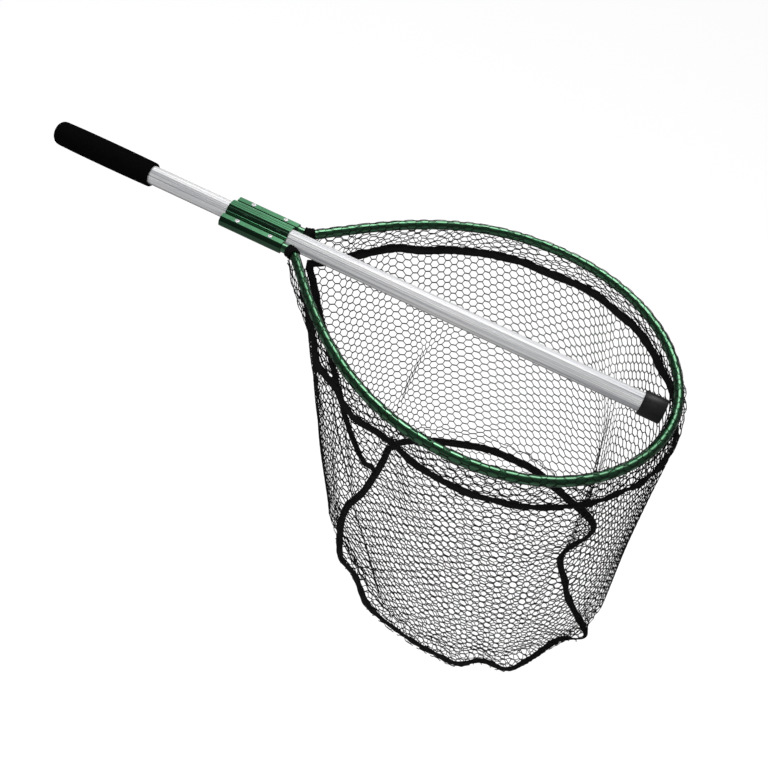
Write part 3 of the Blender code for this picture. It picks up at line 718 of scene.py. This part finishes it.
ROUND = shading_group("shade_round", sharp=0.9)
EXTRUDED = shading_group("shade_extruded", sharp=0.36)
FLUTED = shading_group("shade_fluted", sharp=0.15)

LOOKS = {
    "yoke": (GREEN, EXTRUDED),
    "hoop_tube": (HOOP_GREEN, ROUND),
    "handle_tube": (SILVER, FLUTED),
    "handle_grip": (FOAM, ROUND),
    "front_end_cap": (PLASTIC, ROUND),
    "button_spring_clip": (SPRING, ROUND),
    "lock_button": (STEEL, ROUND),
}


def dress_cad():
    for node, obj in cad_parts.items():
        if node.startswith("rivet_"):
            # the mandrels carry the painted shade of the rivets' hollow centres
            material, shading = (MANDREL_SHADE_STEEL if "mandrel" in node else STEEL), ROUND
        elif node in LOOKS:
            material, shading = LOOKS[node]
        else:
            continue
        obj.data.materials.clear()
        obj.data.materials.append(material)
        obj.modifiers.new("shading", "NODES").node_group = shading


def spring_clip():
    """The spring clip inside the handle, copied to a piece of its own that rides on the handle; the
    real clip closes as the button is pressed, but this copy is not made to.
    """
    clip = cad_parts["button_spring_clip"]
    leaf = bpy.data.objects.new("spring_clip_leaf", clip.data.copy())
    bpy.context.scene.collection.objects.link(leaf)
    leaf.matrix_world = clip.matrix_world
    leaf.modifiers.new("shading", "NODES").node_group = ROUND
    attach(leaf, "handle")
    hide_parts("button_spring_clip")
    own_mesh(leaf)


# ================================================================ folds in the wall's netting
# Where the netting is drawn together: share of the ring at the upper and at the lower tape,
# how much netting goes in, the half width, the drops where it starts and stops, and how far
# its threads weave in and out.
Fold = namedtuple("Fold", "upper lower taken half start stop weave")
FOLDS = (
    Fold(1.000, 1.000, 0.012, 0.0040, 0.04, 1.10, 1.2),
    Fold(0.854, 0.841, 0.014, 0.0011, -0.1, 0.95, 0.3),
    Fold(0.181, 0.048, 0.016, 0.0030, 0.34, 0.86, 0.6),
    Fold(0.325, 0.335, 0.048, 0.0200, 0.25, 1.10, 1.2),
    # stretched open round the far side of the tip
    Fold(0.425, 0.425, -0.030, 0.0500, -1.0, 2.0, 0.0),
)
GATHERED = sum(fold.taken for fold in FOLDS)


def fold_middle(fold, drop):
    return fold.upper * (1 - drop) + fold.lower * drop


def fold_width(fold, drop):
    """Half width of a fold: narrow along it, fanned out beyond its ends."""
    begun = ease(fold.start - 0.10, fold.start + 0.16, drop)
    held = begun * (1 - ease(fold.stop - 0.16, fold.stop + 0.10, drop))
    return fold.half * held + 0.09 * (1 - held)


def gather_table():
    """For rows down the wall: the netting's own share against the share round the wall."""
    share = np.arange(-1600, 5601) / 4000
    rows = []
    for drop in np.linspace(0, 1, 61):
        own = share.copy()
        for fold in FOLDS:
            middle, half = fold_middle(fold, drop), fold_width(fold, drop)
            for turn in (-2, -1, 0, 1, 2):
                off = (share - middle - turn) / half
                own = own + fold.taken * (0.5 + 0.5 * np.tanh(1.2 * off))
        rows.append(own - GATHERED * 2)
    return share, np.array(rows) / (1 + GATHERED)


GATHER_WALL, GATHER_OWN = gather_table()


def gathered(own, drop):
    """Share round the wall of netting that is drawn into the folds."""
    y = np.clip(drop, 0, 1) * (len(GATHER_OWN) - 1)
    upper = np.minimum(np.floor(y).astype(int), len(GATHER_OWN) - 2)
    part = y - upper
    share = np.zeros_like(own)
    for row, known in enumerate(GATHER_OWN):
        for offset, weight in ((0, 1 - part), (1, part)):
            pick = upper + offset == row
            share[pick] += np.interp(own[pick], known, GATHER_WALL) * weight[pick]
    return share


# ================================================================ the bag's netting
def wall_strands(cells, thickness, columns, rows):
    """Share, points, normals and radii of the wall's strands."""
    own = cells[..., 0] / columns
    drop = cells[..., 1] / rows
    loosen = 0.10  # of a cell
    own = own + loosen / columns * smooth_noise(own, drop, 3, 9, 5, 31)
    drop = drop + loosen / rows * smooth_noise(own, drop, 4, 9, 5, 31)
    # where the columns are pressed together the thread is drawn finer
    at_drop = drop[:, 1]
    low, high = (
        wall_at(gathered(own[:, 1] + o / columns, at_drop), at_drop) for o in (-0.5, 0.5)
    )
    full_pitch = 8.6
    pitch = np.linalg.norm(high - low, axis=1)
    radius = thickness * np.clip(pitch / full_pitch, 0.66, 1.0)[:, None]
    share = gathered(own, drop)
    weave = np.zeros_like(share)
    for fold in FOLDS:
        away = ring_gap(share, fold_middle(fold, drop))
        if fold.half < 0.004 and fold.taken > 0:
            # the narrow creases look thicker
            held = ease(fold.start, fold.start + 0.3, drop)
            held = held * (1 - ease(fold.stop - 0.1, fold.stop + 0.1, drop))
            radius = radius * (1 + 0.75 * held * bell(away, 1.1 * fold.half))
        wave = np.sin(math.pi * own * columns * 0.9)
        weave = weave + fold.weave * bell(away, 2.2 * fold.half) * wave
    up = normal_of(wall_at, share, drop)
    points = wall_at(share, drop) + up * weave[..., None]
    # the sides seen edge-on from the camera are pulled taut, and their thread is finer
    facing = np.abs((unit(points - CAMERA_AT) * up).sum(-1))
    radius = radius * (0.70 + 0.30 * np.clip(facing / 0.42, 0, 1))
    return share, points, up, radius


def wall_netting():
    columns, rows, quarters = 2 * round(68 * (1 + GATHERED)), 28, 4
    bars, legs = hex_cells(columns, rows, closed=True)
    made = [wall_strands(*kind, columns, rows) for kind in ((bars, 0.86), (legs, 0.63))]
    for q in range(quarters):
        parts = []
        for share, points, up, radius in made:
            mean = share.mean(1) % 1.0
            pick = (mean >= q / quarters) & (mean < (q + 1) / quarters)
            parts.append(tubes(points[pick], radius[pick], up[pick]))
        replaced = ("net_side_wall",) if q == 0 else ()
        add_piece("netting_wall_%d" % (q + 1), join(parts), NET, "black_net", *replaced)


def panel_netting():
    """Flat netting cut to the lower tape, carried down with the cloth."""
    pitch_x, pitch_y = 10.8, 10.0
    columns, rows = 42, 46
    count = 720
    rim = lower_loop(count) - LOWER_MIDDLE
    bearing = np.arctan2(rim[:, 1], rim[:, 0])
    order = np.argsort(bearing)
    bearing = bearing[order]
    reach = np.linalg.norm(rim, axis=1)[order]
    # the share round the loop, unrolled so that it can be interpolated
    place = (np.arange(count) / count)[order]
    place = np.where(place > place[0] + 1e-9, place - 1, place)
    whole_bearing = np.append(bearing, bearing[0] + TURN)
    whole_place = np.append(place, place[0] - 1)
    bars, legs = hex_cells(columns, rows, closed=False)
    parts = []
    for cells, radius in ((bars, 0.76), (legs, 0.56)):
        x = (cells[..., 0] - columns / 2) * pitch_x
        y = (cells[..., 1] - rows / 2) * pitch_y
        angle = np.arctan2(y, x)
        outness = np.hypot(x, y) / np.interp(angle, bearing, reach, period=TURN)
        inside = (outness < 1.0).any(1)
        outness, angle = np.minimum(outness[inside], 0.999), angle[inside]
        angle = np.where(angle < bearing[0], angle + TURN, angle)
        lower = np.interp(angle, whole_bearing, whole_place) % 1.0
        share = np.interp(lower, HANG_LOWER, HANG_UPPER)
        points = grid_at(PANEL, share, 1 - outness)
        up = np.broadcast_to([0.0, 0.0, 1.0], points.shape)
        parts.append(tubes(points, radius, up))
    add_piece("netting_panel", join(parts), NET, "black_net", "net_bottom_panel")


# ================================================================ the netting folded over the hoop
SLEEVE_FROM, SLEEVE_TO = 0.0140, 0.9860  # shares of the hoop's length
SKIN = TUBE_RADIUS + 0.5
# distance round the sleeve's section at each of its stations
SLEEVE_KNOTS = np.array([0, 11.5, 24, 35.5, 43.8, 49.5, 55.2, 63.5, 75, 88, 99.0])
SLEEVE_INSET = ((0.0, 6.0), *UPPER_INSET, (1.0, 10))


def bulge_of(share):
    """How far the outer layer swings out: most at the tip, least beside the right leg."""
    leg = np.clip((share - 0.80) / 0.08, 0, 1) * np.clip((1.0 - share) / 0.03, 0, 1)
    return 2.5 - 3.5 * leg + 5.0 * bell(share - 0.44, 0.035) - 3.8 * bell(share - 0.515, 0.038)


def sleeve_stations(length, share):
    """(distance inward, height) from the tape up the outside, over the tube and down inside."""
    inset = table_at(share, SLEEVE_INSET)
    loose = 1 - 0.6 * ease(0.84, 0.90, share) - 0.8 * bell(share - 0.50, 0.06)
    ripple = 1.2 * np.sin(TURN * 37 * length) + 0.9 * np.sin(TURN * 61 * length + 1)
    out = bulge_of(share) + loose * ripple
    tape_z = UPPER_Z + 5.2
    slant = SKIN * math.sqrt(0.5)
    return (
        (inset - 1.4, tape_z),
        (np.minimum(inset * 0.7, 0) - 5.0 - out, -26.0),
        (-SKIN - 0.6 * out, -13.0),
        (-SKIN - 0.3, -2.0),
        (-slant, slant),
        (0.0, SKIN),
        (slant, slant),
        (SKIN + 0.3, -2.0),
        (SKIN + 0.25 * inset.clip(-6, 14), -13.0),
        (inset * 0.75 + 3.0, -26.0),
        (inset + 1.4, tape_z),
    )


def sleeve_at(length, girth):
    """Length runs from the left leg to the right, girth from the tape over the tube and back."""
    share = SLEEVE_FROM + (SLEEVE_TO - SLEEVE_FROM) * length
    stations = sleeve_stations(length, share)
    where = girth * SLEEVE_KNOTS[-1]
    last = len(SLEEVE_KNOTS) - 1
    knot = np.clip(np.searchsorted(SLEEVE_KNOTS, where, side="right") - 1, 0, last - 1)
    start = SLEEVE_KNOTS[knot]
    t = (where - start) / (SLEEVE_KNOTS[knot + 1] - start)
    side, height = (
        np.stack([np.broadcast_to(station[k], share.shape) for station in stations])
        for k in (0, 1)
    )
    # drawn up into the lashings at the two legs
    drawn = np.maximum(ease(0.965, 0.989, share), 1 - ease(0.011, 0.028, share))
    past = (np.abs(side) - SKIN).clip(0)
    side = side - np.sign(side) * past * 0.6 * drawn
    height = np.where(height < -2.0, -2.0 + (height + 2.0) * (1 - 0.6 * drawn), height)

    def smooth(field):
        picks = (np.clip(knot + o, 0, last)[None] for o in (-1, 0, 1, 2))
        return cubic(*(np.take_along_axis(field, pick, 0)[0] for pick in picks), t)

    centre, inward = hoop_at(share)
    flat = centre + inward * smooth(side)[..., None]
    return np.concatenate([flat, smooth(height)[..., None]], -1)


def sleeve_netting():
    columns, rows = 130, 10
    bars, legs = hex_cells(columns, rows, closed=False)
    halves = ([], [])
    for cells, thickness in ((bars, 0.74), (legs, 0.54)):
        length = cells[..., 0] / (columns - 1)
        girth = cells[..., 1] / rows
        girth = girth + 0.02 * smooth_noise(length, girth, 21, 7, 9, 40)
        length = length + 0.0022 * smooth_noise(length, girth, 20, 7, 9, 40)
        length, girth = np.clip(length, 0, 1), np.clip(girth, 0, 1)
        points = sleeve_at(length, girth)
        up = normal_of(sleeve_at, length, girth, share_step=0.0008)
        # drawn thin where it is stretched over the tube
        radius = thickness * (1 - 0.45 * np.exp(-(((girth - 0.5) / 0.13) ** 4)))
        left = length.mean(1) < 0.5
        for half, pick in zip(halves, (left, ~left)):
            half.append(tubes(points[pick], radius[pick], up[pick]))
    add_piece("netting_sleeve_1", join(halves[0]), NET, "black_net", "net_rim_sleeve")
    add_piece("netting_sleeve_2", join(halves[1]), NET, "black_net")


# ================================================================ woven tapes
# round the soft-edged section, as shares of the half width and of the half thickness
TAPE_SECTION = (
    (-1, -0.4), (-0.9, -1), (0, -1.1), (0.9, -1), (1, -0.4),
    (1, 0.4), (0.9, 1), (0, 1.1), (-0.9, 1), (-1, 0.4),
)
RING = np.arange(1440) / 1440

# share of the ring, and the strip's roll in radians
UPPER_ROLL = (
    (0.0, 0.30), (0.44, 0.30), (0.48, 0.20), (0.52, -0.30), (0.56, 0.0), (0.60, 0.0), (0.64, 0.10),
    (0.70, 0.05), (0.76, -0.25), (0.80, -0.20), (0.84, -0.50), (0.88, -0.65), (1.0, -0.65),
)
LOWER_ROLL = (
    (0.0, 0.80), (0.27, 0.80), (0.30, 1.0), (0.33, 1.30), (0.36, 0.75), (0.39, 0.25), (0.45, 0.20),
    (0.48, 0.45), (0.51, 1.1), (0.60, 1.15), (0.90, 1.15), (0.94, 0.95), (1.0, 0.80),
)
# share of the ring, and the share of the strip's full width
UPPER_SLIM = ((0.0, 1.0), (0.46, 1.0), (0.54, 0.82), (0.90, 0.84), (0.96, 0.95))
LOWER_SLIM = ((0.0, 0.92), (0.30, 1.0), (0.46, 0.92), (0.56, 0.76), (0.90, 0.78), (1.0, 0.92))


def band(centre, across, out, width, thickness, wander, seed, closed=False, slim=1.0):
    """A woven strip with rippling edges; wander is how far it leans in and out."""
    count = len(centre)
    share = np.arange(count) / count
    lean = wander * smooth_noise(share, 0 * share, seed, 8, 6, 34)
    ripple = 0.35 * smooth_noise(share, 0 * share, seed + 1, 9, 60, 140)
    rings = []
    for side, face in TAPE_SECTION:
        sideways = side * width / 2 * slim + side * ripple
        outwards = face * thickness / 2 + lean * side + 0.25 * ripple
        rings.append(centre + across * sideways[:, None] + out * outwards[:, None])
    corners = len(TAPE_SECTION)
    i = np.arange(count if closed else count - 1)[:, None] * corners
    ahead = (i + corners) % (count * corners)
    k = np.arange(corners)[None]
    beside = (k + 1) % corners
    faces = [
        np.stack([i + k, i + beside, ahead + beside], -1).reshape(-1, 3),
        np.stack([i + k, ahead + beside, ahead + k], -1).reshape(-1, 3),
    ]
    if not closed:
        k = np.arange(1, corners - 1)
        faces.append(np.stack([0 * k, k + 1, k], 1))
        faces.append((count - 1) * corners + np.stack([0 * k, k, k + 1], 1))
    return np.stack(rings, 1).reshape(-1, 3), np.concatenate(faces)


def turned(across, out, angle):
    """The strip's width and face directions after a roll about its length."""
    cos, sin = np.cos(angle)[:, None], np.sin(angle)[:, None]
    return across * cos - out * sin, out * cos + across * sin


def tape_line(drop, shift, roll):
    """Centre, width and face directions of a tape round the wall, shifted down it."""
    drop = np.full(len(RING), drop)
    above, below = (wall_at(RING, np.clip(drop + o, 0, 1)) for o in (-0.03, 0.03))
    down = unit(below - above)
    centre = wall_at(RING, drop) + down * shift
    out = normal_of(wall_at, RING, drop, share_step=0.003, drop_step=0.02)
    # the face points away from the bag's middle
    if np.sum(out[:, :2] * (centre[:, :2] - [330.0, 0.0]), 1).mean() < 0:
        out = -out
    return centre, *turned(down, out, table_at(RING, roll))


def upper_tape():
    """The upper tape, open at the neck."""
    keep = (RING > 0.004) & (RING < 0.975)
    line = (part[keep] for part in tape_line(drop=0.0, shift=-5.0, roll=UPPER_ROLL))
    slim = table_at(RING, UPPER_SLIM)[keep]
    shape = band(*line, width=12.0, thickness=1.9, wander=1.6, seed=31, slim=slim)
    add_piece("tape_upper", shape, TAPE, "black_tape", "upper_binding_tape")


def lower_tape():
    line = tape_line(drop=1.0, shift=3.0, roll=LOWER_ROLL)
    slim = table_at(RING, LOWER_SLIM)
    shape = band(*line, width=11.6, thickness=1.9, wander=1.4, seed=41, closed=True, slim=slim)
    add_piece("tape_lower", shape, TAPE, "black_tape", "lower_binding_tape")


def seam_tape():
    """The same tape over the bag's seam, from the neck corner down to the lower tape."""
    drop = np.linspace(0.0, 1.0, 220)
    share = np.ones(len(drop))
    step = 0.004
    centre = wall_at(share, drop)
    centre[0] += [0, 0, 12.0]
    across = unit(wall_at(share + step, drop) - wall_at(share - step, drop))
    out = normal_of(wall_at, share, drop, share_step=step, drop_step=0.02)
    across, out = turned(across, out, 0.4 * (1 - ease(0.0, 0.25, drop)))
    shape = band(centre, across, out, width=10.6, thickness=1.7, wander=0.9, seed=51)
    add_piece("tape_seam", shape, TAPE, "black_tape")


# ================================================================ cord wound round the two legs
def lashing(side, start, stop, phase):
    """Cord wound round a leg between two distances along the hoop."""
    turns, cord_radius = 7, 1.0
    t = np.linspace(0, 1, turns * 28)
    centre, inward = hoop_at((start + (stop - start) * t) / HOOP_LENGTH)
    angle = TURN * turns * t
    reach = (TUBE_RADIUS + 1.15 + 0.35 * np.sin(5 * t * math.pi + phase))[:, None]
    up = np.concatenate([inward * np.cos(angle)[:, None], np.sin(angle)[:, None]], 1)
    line = np.pad(centre, ((0, 0), (0, 1))) + reach * up
    shape = tubes(line[None], cord_radius, up[None], sides=8)
    add_piece("cord_lashing_" + side, shape, CORD, "black_tape", "neck_lashing_" + side)


# ================================================================ floor, light and camera, in metres
scene = bpy.context.scene


def floor_material():
    """White to the eye, but a weaker light from below."""
    made, nodes, links, shader = fresh_material("pale_floor")
    set_inputs(shader, {
        "Base Color": (0.2, 0.2, 0.2, 1), "Roughness": 1.0, "Specular IOR Level": 0.0,
        "Emission Color": (1, 1, 1, 1),
    })
    path = nodes.new("ShaderNodeLightPath")
    level = nodes.new("ShaderNodeMapRange")
    set_inputs(level, {"To Min": 0.06, "To Max": 0.9})
    links.new(path.outputs["Is Camera Ray"], level.inputs["Value"])
    diffuse_share = 0.34
    bounce = compute(
        nodes, links, "Math", "MULTIPLY_ADD",
        path.outputs["Is Diffuse Ray"], diffuse_share, level.outputs["Result"],
    )
    links.new(bounce.outputs["Value"], shader.inputs["Emission Strength"])
    return made


def add_floor():
    z = -0.75
    mesh = bpy.data.meshes.new("floor")
    mesh.from_pydata([(-6, -6, z), (7, -6, z), (7, 9, z), (-6, 9, z)], [], [(0, 1, 2, 3)])
    floor = bpy.data.objects.new("floor", mesh)
    scene.collection.objects.link(floor)
    mesh.materials.append(floor_material())


# cosine of the angle off the light's middle, and brightness
SKY = ((0.0, 0.020), (0.90, 0.028), (0.953, 0.32), (0.978, 0.95), (1.0, 1.0))
CARD = ((0.84, 0.0), (0.94, 0.055))


def add_world():
    """One wide soft light overhead, leaning to +y, in a dim room."""
    world = bpy.data.worlds.new("studio")
    scene.world = world
    world.use_nodes = True
    nodes, links = world.node_tree.nodes, world.node_tree.links
    where = nodes.new("ShaderNodeTexCoord").outputs["Generated"]

    def glow(direction, stops):
        heading = Vector(direction).normalized()
        towards = compute(nodes, links, "VectorMath", "DOT_PRODUCT", where, heading)
        return colour_ramp(nodes, links, towards.outputs["Value"], stops)

    sky = glow((-0.10, 0.60, 0.79), SKY)
    # a pale card low on the camera's side, -y, brings up the lower half of the tubes
    card = glow((0.0, -1.0, -0.08), CARD)
    both = compute(nodes, links, "VectorMath", "ADD", sky, card)
    back = nodes["Background"]
    links.new(both.outputs["Vector"], back.inputs["Color"])
    set_inputs(back, {"Strength": 2.6})
    # past the floor's edge the camera sees a plain pale backdrop
    backdrop = nodes.new("ShaderNodeBackground")
    set_inputs(backdrop, {"Color": (0.92, 0.92, 0.92, 1.0)})
    seen = nodes.new("ShaderNodeLightPath")
    either = nodes.new("ShaderNodeMixShader")
    links.new(seen.outputs["Is Camera Ray"], either.inputs[0])
    links.new(back.outputs["Background"], either.inputs[1])
    links.new(backdrop.outputs["Background"], either.inputs[2])
    links.new(either.outputs["Shader"], nodes["World Output"].inputs["Surface"])


def lamp(name, place, target, size, size_y, power):
    light = bpy.data.lights.new(name, "AREA")
    light.shape = "RECTANGLE"
    light.size = size
    light.size_y = size_y
    light.energy = power
    obj = bpy.data.objects.new(name, light)
    scene.collection.objects.link(obj)
    obj.location = place
    obj.rotation_euler = (Vector(target) - Vector(place)).to_track_quat("-Z", "Y").to_euler()
    return obj


def add_lamps():
    lamp("key", place=(-0.2, 0.9, 2.2), target=(0.25, 0, 0), size=1.0, size_y=0.5, power=4)
    # these fill the shadows only, without a reflection of their own
    fills = (("fill_front", (0.1, -1.6, 1.9), 36), ("fill_top", (0.3, 0.2, 2.6), 26))
    for name, place, power in fills:
        fill = lamp(name, place, target=(0.25, 0, -0.1), size=1.4, size_y=1.4, power=power)
        fill.visible_glossy = False


def add_camera():
    view = bpy.data.cameras.new("camera")
    view.lens = 49.88
    view.sensor_width = 36.0
    view.clip_end = 50
    camera = bpy.data.objects.new("camera", view)
    scene.collection.objects.link(camera)
    right = Vector((0.89121691, 0.40010853, 0.21364825))
    down = Vector((0.42823687, -0.58700090, -0.68705395))
    ahead = Vector((-0.14948444, 0.70380616, -0.69448635))
    turn = Matrix((right, -down, -ahead)).transposed()
    place = Vector(CAMERA_AT * MM) + Vector(ZERO)
    camera.matrix_world = Matrix.Translation(place) @ turn.to_4x4()
    scene.camera = camera


# ================================================================ everything, in order
dress_cad()
spring_clip()
wall_netting()
panel_netting()
sleeve_netting()
upper_tape()
lower_tape()
seam_tape()
lashing("left", start=10.0, stop=23.0, phase=1.0)
lashing("right", start=HOOP_LENGTH - 21.0, stop=HOOP_LENGTH - 8.0, phase=2.0)
add_floor()
add_world()
add_lamps()
add_camera()
scene.view_settings.view_transform = "Standard"
scene.view_settings.look = "None"

note_size()
